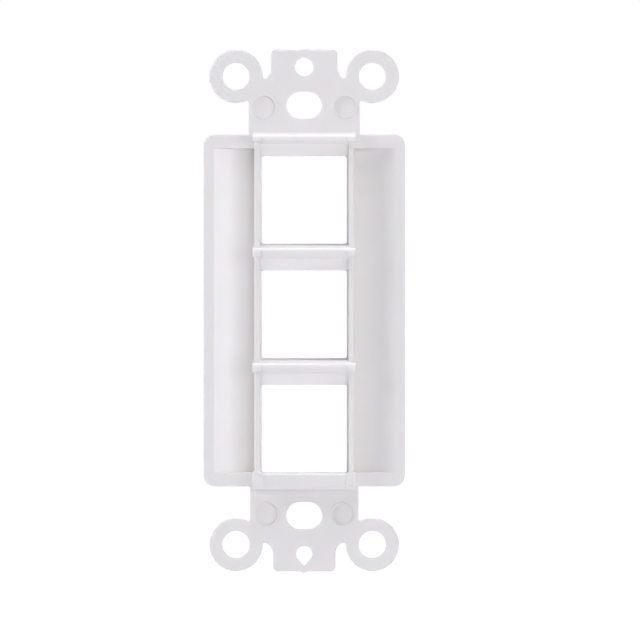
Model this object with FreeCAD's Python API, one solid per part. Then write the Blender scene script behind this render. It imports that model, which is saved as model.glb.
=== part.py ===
"""Three-port keystone insert for a decorator-style wall plate, one injection moulding.

Millimetres. The insert stands upright as it is installed: +Z up, +Y out of the wall towards
the room, so the rear face of the mounting strap lies in the plane Y = 0 and the jacks are
pushed in from the -Y side. The origin is midway between the screw holes of the strap.
"""
import FreeCAD, Part

import math
import os

V = FreeCAD.Vector
ROOMWARD = V(0, 1, 0)
CUT_PAST = 1.0

# Ports: a row of equal bays, each open to the room through a smaller port in the face.
PORTS = 3
PORT_WIDTH = 17.0
PORT_HEIGHT = 17.5
PORT_CORNER_R = 0.4
BAY_CLEARANCE = 0.33
BAY_HEIGHT = 19.8
BAY_FLOOR_DROP = 0.45
BAY_CORNER_R = 0.3
CEILING_SLOPE_REAR = -1.0
WEB_T = 3.05
ROW_SHIFT = 0.4
SIDE_WALL_T = 1.07
LUG_SLOT_DEPTH = 0.9
LUG_SLOT_LENGTH = 1.8

# Depths, measured from the strap's rear face towards the room.
STRAP_T = 2.0
FLANGE_FRONT = 3.2
FACE_FRONT = 6.8
PORT_WALL_T = 1.8
WALL_REAR = -2.1
PAD_REAR = -2.55
BAR_REAR = -3.0
SILL_REAR = -2.7

# Raised face, which fills the wall plate's opening, and the flange that stays behind it.
FACE_WIDTH = 33.1
FACE_END_WALL = 0.65
FACE_CORNER_R = 0.8
FACE_EDGE_R = 0.5
FLANGE_SIDE = 3.45
FLANGE_END = 1.6
FLANGE_CORNER_R = 2.2
FLANGE_EDGE_R = 0.5

# Pockets beside the column: a straight slope inside the rim, then one hollow curve to the column.
POCKET_RIM = 2.0
POCKET_END_WALL = 1.2
POCKET_SLOPE_T = 0.4
POCKET_SLOPE_DEG = 26.0
POCKET_FOOT_DEG = 7.0

# Strap ends. Top and bottom differ a little in width.
TOP_STRAP_WIDTH = 22.1
BOTTOM_STRAP_WIDTH = 21.6
TOP_TAB_WIDTH = 13.2
BOTTOM_TAB_WIDTH = 12.5
TAB_END = 3.48
TAB_CORNER_R = 1.0
STRAP_CHAMFER = 0.2

# Plaster ears: a ring each side of each tab, parted from it by a round-rooted notch.
EAR_GAP = 1.65
EAR_DROP = 1.87
EAR_R = 5.3
EAR_HOLE_R = 2.7
EAR_FOOT_R = 0.35
NOTCH_R = 0.48
NOTCH_RISE = 0.15
FLARE_RISE = 1.65

# Fixings. The wall-plate screws go in the tabs, the box screws in the slots.
PLATE_SCREW_SPACING = 96.84
PLATE_HOLE_R = 1.86
PLATE_HOLE_WALL = 1.8
PILOT_HOLE_R = 1.58
PILOT_NOTCH_DEG = 80.0
PILOT_NOTCH_REACH = 0.87
NIB_WIDTH = 1.9
NIB_REACH = 0.32
SLOT_SPACING = 81.6
SLOT_LENGTH = 7.1
SLOT_WIDTH = 5.4

# Witness marks of the ejector pins: round, sunk, with a floor that falls towards the middle.
MARK_R = 2.2
MARK_LIP_WIDTH = 0.16
MARK_LIP_RISE = 0.12
MARK_SINK = 0.3
MARK_TILT_DEG = 4.0
MARK_FROM_SLOT = 0.35
TOP_MARK_X = 8.05
BOTTOM_MARK_X = 7.55

# Catch bars over the webs. They run on over the side walls, where a pad lies above each.
BAR_OVERHANG = 0.35
BAR_SHOULDER_R = 1.65
BAR_END_R = 0.3
CATCH_CHAMFER = 0.3
TOP_BAR_T = 2.2
SILL_T = 3.2
SILL_EDGE_R = 0.5
SILL_CHAMFER = 0.9
SILL_PAD_ABOVE = 0.3
PAD_ABOVE = 0.7
PAD_INSET = 0.35
WALL_CHAMFER = 0.25
CREASE_WIDTH = 0.25
CREASE_DEPTH = 0.15

BAY_WIDTH = PORT_WIDTH + 2 * BAY_CLEARANCE
COLUMN_WIDTH = BAY_WIDTH + 2 * SIDE_WALL_T
ROW_HEIGHT = PORTS * BAY_HEIGHT + (PORTS - 1) * WEB_T
ROW_BOTTOM = ROW_SHIFT - ROW_HEIGHT / 2
ROW_TOP = ROW_SHIFT + ROW_HEIGHT / 2
BAY_FLOORS = [ROW_BOTTOM + i * (BAY_HEIGHT + WEB_T) for i in range(PORTS)]
BAY_FRONT = FACE_FRONT - PORT_WALL_T
FACE_HEIGHT = ROW_HEIGHT + 2 * FACE_END_WALL
FLANGE_WIDTH = FACE_WIDTH + 2 * FLANGE_SIDE
FLANGE_HEIGHT = FACE_HEIGHT + 2 * FLANGE_END
POCKET_EDGE_X = FLANGE_WIDTH / 2 - POCKET_RIM
POCKET_HEIGHT = FACE_HEIGHT - 2 * POCKET_END_WALL
PLATE_HOLE_Z = PLATE_SCREW_SPACING / 2
SLOT_Z = SLOT_SPACING / 2
TAB_REACH = PLATE_HOLE_Z + TAB_END
EAR_X = TOP_TAB_WIDTH / 2 + EAR_GAP + EAR_R
EAR_Z = PLATE_HOLE_Z - EAR_DROP


def box(x0, x1, y0, y1, z0, z1):
    """Solid box between two opposite corners."""
    return Part.makeBox(x1 - x0, y1 - y0, z1 - z0, V(x0, y0, z0))


def disc(x, z, radius, y0, y1):
    """Solid cylinder whose axis runs through the plate at x, z."""
    return Part.makeCylinder(radius, y1 - y0, V(x, y0, z), ROOMWARD)


def edges_through(shape):
    """Straight edges that run through the plate."""
    found = []
    for edge in shape.Edges:
        bounds = edge.BoundBox
        if bounds.XLength < 1e-6 and bounds.ZLength < 1e-6:
            found.append(edge)
    return found


def edges_at_depth(shape, y):
    """Edges that lie in the plane Y = y."""
    return [e for e in shape.Edges if abs(e.BoundBox.YMin - y) < 1e-6 and abs(e.BoundBox.YMax - y) < 1e-6]


def block(width, z0, z1, y0, y1, corner_r):
    """Box centred on X with its through edges rounded."""
    solid = box(-width / 2, width / 2, y0, y1, z0, z1)
    return solid.makeFillet(corner_r, edges_through(solid))


def prism_along_x(points, x0, x1):
    """Solid between two planes square to X whose section has its corners at these (y, z) points."""
    outline = Part.makePolygon([V(x0, y, z) for y, z in points + points[:1]])
    return Part.Face(outline).extrude(V(x1 - x0, 0, 0))


def both_sides(solid):
    """The solid and its mirror image on the other side of the centre line."""
    return [solid, solid.mirror(V(0, 0, 0), V(1, 0, 0))]


def on_circle(centre, radius, towards):
    """Point of the circle about a centre that lies towards another point."""
    return centre + (towards - centre).normalize() * radius


def tab_crown(half, upwards):
    """Edges of the tab's end from the centre line outwards: a boss round the hole, or a nib."""
    line_end = V(half - TAB_CORNER_R, 0, TAB_REACH)
    if not upwards:
        nib_foot = V(NIB_WIDTH / 2, 0, TAB_REACH)
        return [
            Part.makeLine(V(0, 0, TAB_REACH + NIB_REACH), nib_foot),
            Part.makeLine(nib_foot, line_end),
        ]
    centre = V(0, 0, PLATE_HOLE_Z)
    radius = PLATE_HOLE_R + PLATE_HOLE_WALL
    boss_end = V(math.sqrt(radius ** 2 - TAB_END ** 2), 0, TAB_REACH)
    boss_top = centre + V(0, 0, radius)
    mid = on_circle(centre, radius, (boss_top + boss_end) * 0.5)
    return [Part.Arc(boss_top, mid, boss_end).toShape(), Part.makeLine(boss_end, line_end)]


def strap_outline(strap_width, tab_width, upwards):
    """Outline of the half strap end on the +X side, from the tab's middle to the strap's foot.

    From the tab's straight side an arc flares outwards, tangent to it, into the round root of
    the notch, and that root runs tangent into the ring of the ear. The flare's radius follows
    from those two contacts and from its rise above the root.
    """
    half = tab_width / 2
    reach = EAR_R + NOTCH_R
    root = V(EAR_X - math.sqrt(reach ** 2 - NOTCH_RISE ** 2), 0, EAR_Z + NOTCH_RISE)
    ear = V(EAR_X, 0, EAR_Z)
    inset = root.x - half
    flare_r = (inset ** 2 + FLARE_RISE ** 2 - NOTCH_R ** 2) / (2 * (inset - NOTCH_R))
    flare = V(half + flare_r, 0, root.z + FLARE_RISE)
    side_end = V(half, 0, flare.z)
    flare_end = on_circle(flare, flare_r, root)
    root_end = on_circle(ear, EAR_R, root)
    foot_x = strap_width / 2
    foot_reach = EAR_R + EAR_FOOT_R
    foot_inset = EAR_X - foot_x - EAR_FOOT_R
    foot = V(foot_x + EAR_FOOT_R, 0, EAR_Z - math.sqrt(foot_reach ** 2 - foot_inset ** 2))
    ring_end = on_circle(ear, EAR_R, foot)
    foot_end = V(foot_x, 0, foot.z)
    corner = V(half - TAB_CORNER_R, 0, TAB_REACH - TAB_CORNER_R)
    side_top = V(half, 0, corner.z)
    crown = tab_crown(half, upwards)
    edges = crown + [
        Part.Arc(
            V(corner.x, 0, TAB_REACH), on_circle(corner, TAB_CORNER_R, corner + V(1, 0, 1)), side_top,
        ).toShape(),
        Part.makeLine(side_top, side_end),
        Part.Arc(side_end, on_circle(flare, flare_r, (side_end + flare_end) * 0.5), flare_end).toShape(),
        Part.Arc(flare_end, on_circle(root, NOTCH_R, (flare_end + root_end) * 0.5), root_end).toShape(),
        Part.Arc(root_end, ear + V(EAR_R, 0, 0), ring_end).toShape(),
        Part.Arc(ring_end, on_circle(foot, EAR_FOOT_R, (ring_end + foot_end) * 0.5), foot_end).toShape(),
        Part.makeLine(foot_end, V(foot_x, 0, 0)),
        Part.makeLine(V(foot_x, 0, 0), V(0, 0, 0)),
        Part.makeLine(V(0, 0, 0), crown[0].Vertexes[0].Point),
    ]
    return Part.Wire(edges)


def strap_end(strap_width, tab_width, upwards):
    """One end of the strap, its edges chamfered, without its holes."""
    outline = strap_outline(strap_width, tab_width, upwards)
    half = Part.Face(outline).extrude(ROOMWARD * STRAP_T)
    rims = edges_at_depth(half, 0) + edges_at_depth(half, STRAP_T)
    outer = [e for e in rims if e.BoundBox.XMax > 1e-6 and e.BoundBox.ZMax > 1e-6]
    half = half.makeChamfer(STRAP_CHAMFER, outer)
    whole = half.fuse(half.mirror(V(0, 0, 0), V(1, 0, 0)))
    return whole if upwards else whole.mirror(V(0, 0, 0), V(0, 0, 1))


def back_plate():
    """Strap and body rim in one plane, with a small chamfer round both edges."""
    half = FLANGE_HEIGHT / 2
    rim = block(FLANGE_WIDTH, -half, half, 0, STRAP_T, FLANGE_CORNER_R)
    rim = rim.makeChamfer(STRAP_CHAMFER, edges_at_depth(rim, 0) + edges_at_depth(rim, STRAP_T))
    return rim.fuse([
        strap_end(TOP_STRAP_WIDTH, TOP_TAB_WIDTH, True),
        strap_end(BOTTOM_STRAP_WIDTH, BOTTOM_TAB_WIDTH, False),
    ])


def flange():
    """Shoulder that stays behind the wall plate, on top of the back plate."""
    half = FLANGE_HEIGHT / 2
    solid = block(FLANGE_WIDTH, -half, half, STRAP_CHAMFER, FLANGE_FRONT, FLANGE_CORNER_R)
    return solid.makeFillet(FLANGE_EDGE_R, edges_at_depth(solid, FLANGE_FRONT))


def raised_face():
    """Block that fills the wall plate's opening."""
    half = FACE_HEIGHT / 2
    solid = block(FACE_WIDTH, -half, half, STRAP_T, FACE_FRONT, FACE_CORNER_R)
    return solid.makeFillet(FACE_EDGE_R, edges_at_depth(solid, FACE_FRONT))


def pocket():
    """Hollow on the +X side of the column: slope from the rim, then a tangent curve to the column.

    The curve's radius follows from its tilts at the slope and at the column's foot.
    """
    slope = math.radians(POCKET_SLOPE_DEG)
    foot = math.radians(POCKET_FOOT_DEG)
    slope_x = POCKET_EDGE_X - POCKET_SLOPE_T
    foot_x = COLUMN_WIDTH / 2
    radius = (slope_x - foot_x) / (math.sin(slope) - math.sin(foot))
    slope_end = V(slope_x, POCKET_SLOPE_T * math.tan(slope), 0)
    centre = slope_end - V(math.sin(slope), math.cos(slope), 0) * radius
    middle = (slope + foot) / 2
    curve_mid = centre + V(math.sin(middle), math.cos(middle), 0) * radius
    curve_end = centre + V(math.sin(foot), math.cos(foot), 0) * radius
    inner_x = foot_x - SIDE_WALL_T / 2
    edge_out = V(POCKET_EDGE_X + CUT_PAST / math.tan(slope), -CUT_PAST, 0)
    floor_end = V(inner_x, curve_end.y, 0)
    mouth = V(inner_x, -CUT_PAST, 0)
    edges = [
        Part.makeLine(edge_out, slope_end),
        Part.Arc(slope_end, curve_mid, curve_end).toShape(),
        Part.makeLine(curve_end, floor_end),
        Part.makeLine(floor_end, mouth),
        Part.makeLine(mouth, edge_out),
    ]
    section = Part.Face(Part.Wire(edges))
    section.translate(V(0, 0, -POCKET_HEIGHT / 2))
    return section.extrude(V(0, 0, POCKET_HEIGHT))


def column():
    """Port column: full height behind the strap, and within the raised face down to its front wall."""
    half = COLUMN_WIDTH / 2
    rear = box(-half, half, BAR_REAR, STRAP_T, ROW_BOTTOM - SILL_T, ROW_TOP + TOP_BAR_T)
    end = POCKET_HEIGHT / 2
    return rear.fuse(box(-half, half, 0, BAY_FRONT, -end, end))


def bay(floor, drop):
    """Hollow of one bay with its port. Its own floor lies this drop below the port's sill."""
    ceiling = floor + BAY_HEIGHT
    port_top = floor + PORT_HEIGHT
    hollow = block(BAY_WIDTH, floor - drop, ceiling, BAR_REAR - CUT_PAST, BAY_FRONT, BAY_CORNER_R)
    fall = (BAY_HEIGHT - PORT_HEIGHT) / (BAY_FRONT - CEILING_SLOPE_REAR)
    hollow = hollow.cut(prism_along_x([
        (CEILING_SLOPE_REAR, ceiling), (BAY_FRONT + CUT_PAST, port_top - fall * CUT_PAST),
        (BAY_FRONT + CUT_PAST, ceiling + CUT_PAST), (CEILING_SLOPE_REAR, ceiling + CUT_PAST),
    ], -BAY_WIDTH, BAY_WIDTH))
    port = block(PORT_WIDTH, floor, port_top, 0, FACE_FRONT + CUT_PAST, PORT_CORNER_R)
    half = PORT_WIDTH / 2
    lug_slot = box(-half, half, BAY_FRONT - LUG_SLOT_LENGTH, BAY_FRONT, floor - LUG_SLOT_DEPTH, floor)
    chamfer = prism_along_x([
        (BAR_REAR - CUT_PAST, ceiling + CATCH_CHAMFER + CUT_PAST),
        (BAR_REAR + CATCH_CHAMFER, ceiling),
        (BAR_REAR - CUT_PAST, ceiling),
    ], -half, half)
    return hollow.fuse([port, lug_slot, chamfer])


def shoulder(level, rear, radius, half_width):
    """Waste outside the round shoulder of a bar whose upper side is at this level."""
    waste = box(-half_width, half_width, rear - CUT_PAST, rear + radius, level - radius, level + CUT_PAST)
    axis = V(-half_width, rear + radius, level - radius)
    return waste.cut(Part.makeCylinder(radius, 2 * half_width, axis, V(1, 0, 0)))


def pad_waste(level, top):
    """Waste that carries a bar's round shoulder on over the side walls, down to the pad above it."""
    x0 = BAY_WIDTH / 2
    x1 = COLUMN_WIDTH / 2 + BAR_OVERHANG + CUT_PAST
    axis = V(x0, BAR_REAR + BAR_SHOULDER_R, level - BAR_SHOULDER_R)
    waste = box(x0, x1, BAR_REAR - CUT_PAST, PAD_REAR, level - BAR_SHOULDER_R, top)
    return both_sides(waste.cut(Part.makeCylinder(BAR_SHOULDER_R, x1 - x0, axis, V(1, 0, 0))))


def bar_end(z0, z1, over_strap):
    """Overhanging end of a bar on the +X side, with a rounded rear corner.

    Over the strap it is a block down to it. Over the pocket it tapers back into the side wall.
    """
    wall_x = COLUMN_WIDTH / 2
    inner_x = wall_x - SIDE_WALL_T / 2
    outer_x = wall_x + BAR_OVERHANG
    corner = V(outer_x - BAR_END_R, BAR_REAR + BAR_END_R, z0)
    rear_end = V(corner.x, BAR_REAR, z0)
    side_start = V(outer_x, corner.y, z0)
    if over_strap:
        inward = [V(outer_x, STRAP_T / 2, z0), V(inner_x, STRAP_T / 2, z0)]
    else:
        foot_y = corner.y + 3 * BAR_OVERHANG
        inward = [V(wall_x, foot_y, z0), V(inner_x, foot_y, z0)]
    points = [side_start] + inward + [V(inner_x, BAR_REAR, z0), rear_end]
    edges = [Part.makeLine(start, end) for start, end in zip(points, points[1:])]
    turn = on_circle(corner, BAR_END_R, corner + V(1, -1, 0))
    edges.append(Part.Arc(rear_end, turn, side_start).toShape())
    return Part.Face(Part.Wire(edges)).extrude(V(0, 0, z1 - z0))


def bars():
    """Underside and upper side of each catch bar, from the bottom: one on each web, then the top bar."""
    levels = [(floor - WEB_T, floor - BAY_FLOOR_DROP) for floor in BAY_FLOORS[1:]]
    return levels + [(ROW_TOP, ROW_TOP + TOP_BAR_T)]


def sill_waste():
    """Waste that sinks the sill between its pads, rounds its upper edge and slopes its foot."""
    half = PORT_WIDTH / 2 - CREASE_WIDTH
    foot = ROW_BOTTOM - SILL_T
    sunk = box(-half, half, BAR_REAR - CUT_PAST, SILL_REAR, foot - CUT_PAST, ROW_BOTTOM)
    slope = prism_along_x([
        (BAR_REAR - CUT_PAST, foot + SILL_CHAMFER + CUT_PAST),
        (BAR_REAR + SILL_CHAMFER + CUT_PAST, foot - CUT_PAST),
        (BAR_REAR - CUT_PAST, foot - CUT_PAST),
    ], -COLUMN_WIDTH, COLUMN_WIDTH)
    return [sunk, slope, shoulder(ROW_BOTTOM, SILL_REAR, SILL_EDGE_R, half)]


def wall_relief(z0, z1):
    """Waste that sets the side walls' rear edges back between two pads and chamfers them."""
    inner = PORT_WIDTH / 2
    wall = COLUMN_WIDTH / 2
    outer = wall + BAR_OVERHANG + CUT_PAST
    rear = BAR_REAR - CUT_PAST
    outline = Part.makePolygon([
        V(inner, rear, z0), V(outer, rear, z0), V(outer, WALL_REAR + WALL_CHAMFER, z0),
        V(wall, WALL_REAR + WALL_CHAMFER, z0), V(wall - WALL_CHAMFER, WALL_REAR, z0),
        V(inner, WALL_REAR, z0), V(inner, rear, z0),
    ])
    return both_sides(Part.Face(outline).extrude(V(0, 0, z1 - z0)))


def crease(z0, z1):
    """Fine groove between a catch bar and its end over the side wall."""
    outer = PORT_WIDTH / 2
    return both_sides(box(outer - CREASE_WIDTH, outer, BAR_REAR - CUT_PAST, BAR_REAR + CREASE_DEPTH, z0, z1))


def plate_fixings():
    """Waste of the screw holes, slots and ear holes through the strap."""
    y0 = -CUT_PAST
    y1 = STRAP_T + CUT_PAST
    waste = [disc(0, PLATE_HOLE_Z, PLATE_HOLE_R, y0, y1), disc(0, -PLATE_HOLE_Z, PILOT_HOLE_R, y0, y1)]
    half_notch = math.radians(PILOT_NOTCH_DEG / 2)
    side_x = PILOT_HOLE_R * math.sin(half_notch)
    side_z = -PLATE_HOLE_Z - PILOT_HOLE_R * math.cos(half_notch)
    tip_z = -PLATE_HOLE_Z - PILOT_HOLE_R - PILOT_NOTCH_REACH
    notch = Part.makePolygon([
        V(-side_x, y0, side_z), V(0, y0, -PLATE_HOLE_Z), V(side_x, y0, side_z),
        V(0, y0, tip_z), V(-side_x, y0, side_z),
    ])
    waste.append(Part.Face(notch).extrude(ROOMWARD * (y1 - y0)))
    flat = (SLOT_LENGTH - SLOT_WIDTH) / 2
    for side in (1, -1):
        z = side * SLOT_Z
        waste.append(box(-flat, flat, y0, y1, z - SLOT_WIDTH / 2, z + SLOT_WIDTH / 2))
        waste += both_sides(disc(flat, z, SLOT_WIDTH / 2, y0, y1))
        waste += both_sides(disc(EAR_X, side * EAR_Z, EAR_HOLE_R, y0, y1))
    return waste


def mark(x, z):
    """Ejector mark on the +X side: its fine raised lip, and the waste down to its tilted floor."""
    lip_r = MARK_R + MARK_LIP_WIDTH
    lip = disc(x, z, lip_r, -MARK_LIP_RISE, STRAP_T / 2)
    floor = box(x - 2 * lip_r, x + 2 * lip_r, -2 * lip_r, MARK_SINK, z - 2 * lip_r, z + 2 * lip_r)
    floor.rotate(V(x, MARK_SINK, z), V(0, 0, 1), -MARK_TILT_DEG)
    waste = disc(x, z, MARK_R, -CUT_PAST, STRAP_T).common(floor)
    return lip, waste


def body():
    """Back plate, flange and raised face, hollowed at the sides, with the port column."""
    solid = back_plate().fuse([flange(), raised_face()])
    solid = solid.cut(both_sides(pocket()))
    return solid.fuse(column())


def insert_body():
    """The whole moulding."""
    solid = body()
    pad_top = ROW_BOTTOM + SILL_PAD_ABOVE
    ends = both_sides(bar_end(ROW_BOTTOM - SILL_T, pad_top, True))
    waste = plate_fixings() + sill_waste()
    for floor in BAY_FLOORS:
        waste.append(bay(floor, BAY_FLOOR_DROP if floor > ROW_BOTTOM else 0))
    for underside, upper in bars():
        over_strap = upper > ROW_TOP
        waste += wall_relief(pad_top, underside + PAD_INSET)
        ends += both_sides(bar_end(underside + PAD_INSET, upper, over_strap))
        pad_top = upper + BAY_FLOOR_DROP + PAD_ABOVE
        if over_strap:
            waste.append(shoulder(upper, BAR_REAR, BAR_SHOULDER_R, COLUMN_WIDTH))
        else:
            waste.append(shoulder(upper, BAR_REAR, BAR_SHOULDER_R, BAY_WIDTH / 2))
            waste += pad_waste(upper, pad_top)
        waste += crease(underside, upper)
    for z, x in ((SLOT_Z - MARK_FROM_SLOT, TOP_MARK_X), (MARK_FROM_SLOT - SLOT_Z, BOTTOM_MARK_X)):
        lip, sunk = mark(x, z)
        ends += both_sides(lip)
        waste += both_sides(sunk)
    return solid.fuse(ends).cut(waste).removeSplitter()


def main():
    os.makedirs("parts", exist_ok=True)
    solid = insert_body()
    if len(solid.Solids) != 1 or not solid.isValid():
        raise ValueError("the moulding is not one valid solid")
    solid.Solids[0].exportStep("parts/insert_body.step")


if __name__ == "__main__":
    main()
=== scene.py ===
"""Looks and stage for a three-port keystone insert, seen from its rear side.

The moulding itself is the CAD frame. This add-on gives it its moulded white plastic and puts
it in a plain studio. Metres, +Z up, +Y towards the room.
"""

import bpy
import numpy as np
from bpy.props import FloatProperty, FloatVectorProperty, PointerProperty
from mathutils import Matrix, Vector


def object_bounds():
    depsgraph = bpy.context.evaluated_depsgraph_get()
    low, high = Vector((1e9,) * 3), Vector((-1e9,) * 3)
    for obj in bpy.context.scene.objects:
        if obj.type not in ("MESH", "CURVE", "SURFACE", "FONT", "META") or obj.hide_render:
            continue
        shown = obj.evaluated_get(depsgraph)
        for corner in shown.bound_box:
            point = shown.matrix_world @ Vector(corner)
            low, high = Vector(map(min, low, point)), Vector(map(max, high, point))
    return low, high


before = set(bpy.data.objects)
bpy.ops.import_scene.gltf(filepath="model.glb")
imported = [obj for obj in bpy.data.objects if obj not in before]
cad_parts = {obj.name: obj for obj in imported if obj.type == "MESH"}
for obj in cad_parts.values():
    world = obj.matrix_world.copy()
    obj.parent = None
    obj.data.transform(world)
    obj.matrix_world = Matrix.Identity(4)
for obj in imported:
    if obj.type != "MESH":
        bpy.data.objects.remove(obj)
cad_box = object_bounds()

bl_info = {
    "name": "Keystone insert",
    "version": (1, 0, 0),
    "blender": (4, 5, 0),
    "location": "View3D > Sidebar > Keystone insert",
    "description": "Moulded plastic and studio for a three-port keystone insert",
    "category": "Object",
}

MM = 0.001
PANEL_TAB = "Keystone insert"

# Each lamp: its name, degrees to the right of the camera, degrees up, and watts.
LAMPS = (
    ("right_lamp", 45, 8, 12),
    ("near_right_lamp", 20, 8, 6),
    ("left_lamp", -75, 24, 24),
    ("upper_lamp", 0, 70, 11),
    ("overhead_lamp", 0, 85, 11),
    ("room_lamp", 160, 24, 24),
)
LAMP_DISTANCE = 2.4
LAMP_SIZE = 1.0
LAMP_COLOUR = (0.94, 0.95, 1.0)

# Finish of the moulded skin: how far the marks and the grain vary its roughness, and its depth of light.
FLOW_ROUGHNESS = 0.08
GRAIN_ROUGHNESS = 0.06
FLOW_DETAIL = 3.0
GRAIN_DETAIL = 2.0
RIPPLE_DETAIL = 1.0
PLASTIC_IOR = 1.52
GLOW_THROUGH = 0.3
GLOW_DEPTH = 0.8 * MM
GLOW_REACH = (1.0, 0.85, 0.75)
EDGE_SAMPLES = 6

FLOOR_RADIUS = 6.0
FLOOR_RINGS = 12
FLOOR_SPOKES = 96
FLOOR_GLOW = 0.85
WHITE = (1.0, 1.0, 1.0)
SENSOR_WIDTH = 36.0
VIEW_REACH = 100.0


class Wire:
    """An output of a node. Arithmetic on it adds Math nodes to its recipe."""

    def __init__(self, recipe, socket):
        self.recipe = recipe
        self.socket = socket

    def _with(self, operation, first, second):
        made = self.recipe.node("ShaderNodeMath", {"operation": operation}, {0: first, 1: second})
        return Wire(self.recipe, made.outputs[0])

    def __add__(self, other):
        return self._with("ADD", self, other)

    __radd__ = __add__

    def __sub__(self, other):
        return self._with("SUBTRACT", self, other)

    def __mul__(self, other):
        return self._with("MULTIPLY", self, other)

    __rmul__ = __mul__


class Recipe:
    """The node tree of a finish, lamp or world, built from nothing."""

    def __init__(self, owner):
        owner.use_nodes = True
        self.tree = owner.node_tree
        self.tree.nodes.clear()

    def node(self, kind, settings=None, inputs=None):
        """Adds a node: its settings first, then the value or the link of each socket."""
        made = self.tree.nodes.new(kind)
        for name, value in (settings or {}).items():
            setattr(made, name, value)
        for key, value in (inputs or {}).items():
            if isinstance(value, Wire):
                self.tree.links.new(value.socket, made.inputs[key])
            else:
                made.inputs[key].default_value = value
        return made

    def wire(self, kind, output, settings=None, inputs=None):
        """Adds a node and returns one of its outputs."""
        return Wire(self, self.node(kind, settings, inputs).outputs[output])

    def noise(self, place, size, detail):
        """Smooth noise from 0 to 1 whose blotches are about this size, in metres."""
        return self.wire("ShaderNodeTexNoise", "Fac", {"noise_dimensions": "3D"}, {
            "Vector": place, "Scale": 1.0 / size, "Detail": detail,
        })

    def mix_colour(self, factor, first, second):
        """Colour between two others."""
        return self.wire("ShaderNodeMix", 2, {"data_type": "RGBA"}, {0: factor, 6: first, 7: second})


def rgba(colour):
    """Colour with full alpha."""
    return (*colour, 1.0)


class PlasticSettings(bpy.types.PropertyGroup):
    colour: FloatVectorProperty(
        name="Colour", description="Colour of the plastic where it is thick",
        subtype="COLOR", size=3, min=0, max=1, default=(0.905, 0.882, 0.864),
    )
    flow_colour: FloatVectorProperty(
        name="Flow colour", description="Slightly darker colour in the cloudy flow marks",
        subtype="COLOR", size=3, min=0, max=1, default=(0.875, 0.848, 0.826),
    )
    flow_size: FloatProperty(
        name="Flow mark size", description="Size of the cloudy flow marks",
        subtype="DISTANCE", unit="LENGTH", default=9 * MM, min=1 * MM,
    )
    roughness: FloatProperty(
        name="Roughness", description="Roughness of the moulded skin",
        subtype="FACTOR", default=0.24, min=0, max=1,
    )
    grain_size: FloatProperty(
        name="Grain size", description="Size of the fine grain that the mould leaves",
        subtype="DISTANCE", unit="LENGTH", default=0.35 * MM, min=0.05 * MM,
    )
    grain_height: FloatProperty(
        name="Grain height", description="Height of the fine grain",
        subtype="DISTANCE", unit="LENGTH", default=0.004 * MM, min=0,
    )
    ripple_size: FloatProperty(
        name="Ripple size", description="Length of the shrinkage ripples",
        subtype="DISTANCE", unit="LENGTH", default=7 * MM, min=1 * MM,
    )
    ripple_height: FloatProperty(
        name="Ripple height", description="Height of the shrinkage ripples",
        subtype="DISTANCE", unit="LENGTH", default=0.05 * MM, min=0,
    )
    edge_radius: FloatProperty(
        name="Edge radius", description="Radius by which the mould softens the sharp edges",
        subtype="DISTANCE", unit="LENGTH", default=0.12 * MM, min=0,
    )


class StageSettings(bpy.types.PropertyGroup):
    floor_colour: FloatVectorProperty(
        name="Floor colour", description="Colour of the pale floor",
        subtype="COLOR", size=3, min=0, max=1, default=(0.85, 0.85, 0.85),
    )
    floor_drop: FloatProperty(
        name="Floor drop", description="How far the floor lies below the object",
        subtype="DISTANCE", unit="LENGTH", default=150 * MM, min=0,
    )
    fill_colour: FloatVectorProperty(
        name="Fill colour", description="Colour of the light from all round",
        subtype="COLOR", size=3, min=0, max=1, default=(0.91, 0.93, 1.0),
    )
    fill: FloatProperty(
        name="Fill", description="Brightness of the light from all round", default=0.21, min=0,
    )
    lamps: FloatProperty(
        name="Lamps", description="Strength of all the lamps together", default=1.0, min=0,
    )
    frame_width: FloatProperty(
        name="Frame width", description="Width of the view at the object",
        subtype="DISTANCE", unit="LENGTH", default=127.24 * MM, min=1 * MM,
    )
    camera_distance: FloatProperty(
        name="Camera distance", description="Distance of the camera from the strap",
        subtype="DISTANCE", unit="LENGTH", default=1.0, min=0.1,
    )
    aim_x: FloatProperty(
        name="Aim across", description="Centre of the view, to the right of the object's centre line",
        subtype="DISTANCE", unit="LENGTH", default=3.14 * MM,
    )
    aim_z: FloatProperty(
        name="Aim up", description="Centre of the view, above the midpoint of the screw holes",
        subtype="DISTANCE", unit="LENGTH", default=-1.9 * MM,
    )


def moulded_plastic(settings):
    """White moulded plastic: cloudy flow marks, a fine grain, shrinkage ripples, softened edges."""
    material = bpy.data.materials.new("moulded_plastic")
    recipe = Recipe(material)
    place = recipe.wire("ShaderNodeTexCoord", "Object")
    flow = recipe.noise(place, settings.flow_size, FLOW_DETAIL)
    grain = recipe.noise(place, settings.grain_size, GRAIN_DETAIL)
    ripple = recipe.noise(place, settings.ripple_size, RIPPLE_DETAIL)
    colour = recipe.mix_colour(flow, rgba(settings.colour), rgba(settings.flow_colour))
    roughness = settings.roughness + FLOW_ROUGHNESS * (flow - 0.5) + GRAIN_ROUGHNESS * (grain - 0.5)
    height = grain * settings.grain_height + ripple * settings.ripple_height
    softened = recipe.wire("ShaderNodeBevel", "Normal", {"samples": EDGE_SAMPLES}, {
        "Radius": settings.edge_radius,
    })
    normal = recipe.wire("ShaderNodeBump", "Normal", None, {
        "Strength": 1.0, "Distance": 1.0, "Height": height, "Normal": softened,
    })
    shader = recipe.wire("ShaderNodeBsdfPrincipled", "BSDF", None, {
        "Base Color": colour, "Roughness": roughness, "IOR": PLASTIC_IOR, "Normal": normal,
        "Subsurface Weight": GLOW_THROUGH, "Subsurface Radius": GLOW_REACH, "Subsurface Scale": GLOW_DEPTH,
    })
    recipe.node("ShaderNodeOutputMaterial", None, {"Surface": shader})
    return material


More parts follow.
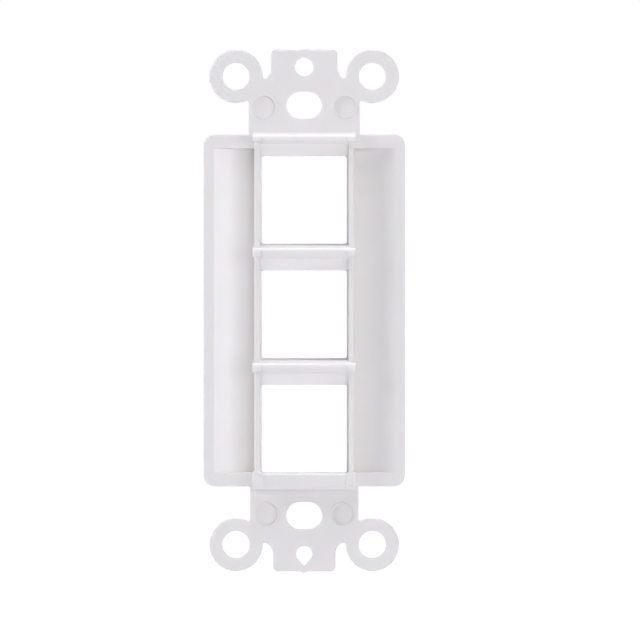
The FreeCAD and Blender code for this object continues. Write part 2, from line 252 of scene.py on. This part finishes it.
def seen_directly(recipe):
    """1 for rays from the camera, a mirror or glass, 0 for the rays that light the object."""
    path = recipe.node("ShaderNodeLightPath")
    rays = [Wire(recipe, path.outputs[name]) for name in (
        "Is Camera Ray", "Is Glossy Ray", "Is Transmission Ray",
    )]
    total = rays[0] + rays[1] + rays[2]
    return recipe.wire("ShaderNodeClamp", 0, None, {"Value": total})


def pale_floor(settings):
    """Pale floor that shows white and still takes the object's shadow."""
    material = bpy.data.materials.new("pale_floor")
    recipe = Recipe(material)
    matte = recipe.wire("ShaderNodeBsdfDiffuse", 0, None, {"Color": rgba(settings.floor_colour)})
    glow = recipe.wire("ShaderNodeEmission", 0, None, {"Strength": seen_directly(recipe) * FLOOR_GLOW})
    both = recipe.wire("ShaderNodeAddShader", 0, None, {0: matte, 1: glow})
    recipe.node("ShaderNodeOutputMaterial", None, {"Surface": both})
    return material


def floor_disc(level, radius):
    """Round floor. Point (u, v) lies at radius * u from the middle, a share v of the way round."""
    u = np.linspace(0, 1, FLOOR_RINGS + 1)[1:]
    angle = np.linspace(0, 2 * np.pi, FLOOR_SPOKES, endpoint=False)
    x = radius * u[:, None] * np.cos(angle)
    y = radius * u[:, None] * np.sin(angle)
    ring_points = np.stack([x, y, np.full_like(x, level)], -1).reshape(-1, 3)
    points = np.vstack([[[0.0, 0.0, level]], ring_points])
    here = np.arange(FLOOR_SPOKES)
    there = (here + 1) % FLOOR_SPOKES
    hub = np.stack([np.zeros(FLOOR_SPOKES, int), 1 + here, 1 + there], -1)
    inner = 1 + FLOOR_SPOKES * np.arange(FLOOR_RINGS - 1)[:, None]
    outer = inner + FLOOR_SPOKES
    quads = np.stack([inner + here, outer + here, outer + there, inner + there], -1).reshape(-1, 4)
    mesh = bpy.data.meshes.new("floor")
    mesh.from_pydata(points.tolist(), [], hub.tolist() + quads.tolist())
    floor = bpy.data.objects.new("floor", mesh)
    bpy.context.scene.collection.objects.link(floor)
    return floor


def area_lamp(name, across, up, power):
    """Square lamp that faces the object, at two angles in radians from the camera's side."""
    light = bpy.data.lights.new(name, "AREA")
    light.shape = "SQUARE"
    light.size = LAMP_SIZE
    light.energy = power
    light.color = LAMP_COLOUR
    lamp = bpy.data.objects.new(name, light)
    level = np.array([np.sin(across), -np.cos(across), np.tan(up)]) * np.cos(up)
    lamp.location = Vector(level * LAMP_DISTANCE)
    lamp.rotation_euler = (-lamp.location).to_track_quat("-Z", "Y").to_euler()
    lamp.visible_camera = False
    bpy.context.scene.collection.objects.link(lamp)


def studio_world(settings):
    """Even light from all round, which shows as plain white."""
    world = bpy.data.worlds.new("studio")
    recipe = Recipe(world)
    seen = seen_directly(recipe)
    colour = recipe.mix_colour(seen, rgba(settings.fill_colour), rgba(WHITE))
    strength = settings.fill + (1.0 - settings.fill) * seen
    light = recipe.wire("ShaderNodeBackground", 0, None, {"Color": colour, "Strength": strength})
    recipe.node("ShaderNodeOutputWorld", None, {"Surface": light})
    return world


def studio_camera(settings):
    """Camera straight behind the insert, level with it."""
    camera = bpy.data.cameras.new("camera")
    camera.sensor_width = SENSOR_WIDTH
    camera.lens = camera.sensor_width * settings.camera_distance / settings.frame_width
    camera.clip_end = VIEW_REACH
    eye = bpy.data.objects.new("camera", camera)
    eye.location = (settings.aim_x, -settings.camera_distance, settings.aim_z)
    eye.rotation_euler = (np.pi / 2, 0, 0)
    bpy.context.scene.collection.objects.link(eye)
    return eye


class KEYSTONE_OT_moulding(bpy.types.Operator):
    """Give the moulding its white plastic"""
    bl_idname = "keystone.moulding"
    bl_label = "Moulding"

    def execute(self, context):
        finish = moulded_plastic(context.scene.keystone_plastic)
        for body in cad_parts.values():
            for slot in body.material_slots:
                slot.material = finish
        return {"FINISHED"}


class KEYSTONE_OT_stage(bpy.types.Operator):
    """Set up the floor, the studio light and the camera"""
    bl_idname = "keystone.stage"
    bl_label = "Stage"

    def execute(self, context):
        settings = context.scene.keystone_stage
        scene = context.scene
        scene.view_settings.view_transform = "Standard"
        floor = floor_disc(cad_box[0].z - settings.floor_drop, FLOOR_RADIUS)
        floor.data.materials.append(pale_floor(settings))
        scene.world = studio_world(settings)
        for name, across, up, power in LAMPS:
            area_lamp(name, np.radians(across), np.radians(up), power * settings.lamps)
        scene.camera = studio_camera(settings)
        return {"FINISHED"}


class KEYSTONE_PT_build(bpy.types.Panel):
    """Pieces and stage of the keystone insert"""
    bl_idname = "KEYSTONE_PT_build"
    bl_label = "Keystone insert"
    bl_space_type = "VIEW_3D"
    bl_region_type = "UI"
    bl_category = PANEL_TAB

    def draw(self, context):
        layout = self.layout
        for group, operator in (
            ("keystone_plastic", "keystone.moulding"),
            ("keystone_stage", "keystone.stage"),
        ):
            box = layout.box()
            settings = getattr(context.scene, group)
            for name in settings.__annotations__:
                box.prop(settings, name)
            box.operator(operator)


CLASSES = (
    PlasticSettings,
    StageSettings,
    KEYSTONE_OT_moulding,
    KEYSTONE_OT_stage,
    KEYSTONE_PT_build,
)


def register():
    for cls in CLASSES:
        bpy.utils.register_class(cls)
    bpy.types.Scene.keystone_plastic = PointerProperty(type=PlasticSettings)
    bpy.types.Scene.keystone_stage = PointerProperty(type=StageSettings)


def unregister():
    del bpy.types.Scene.keystone_stage
    del bpy.types.Scene.keystone_plastic
    for cls in reversed(CLASSES):
        bpy.utils.unregister_class(cls)


def main():
    register()
    bpy.ops.keystone.moulding()
    bpy.ops.keystone.stage()


if __name__ == "__main__":
    main()
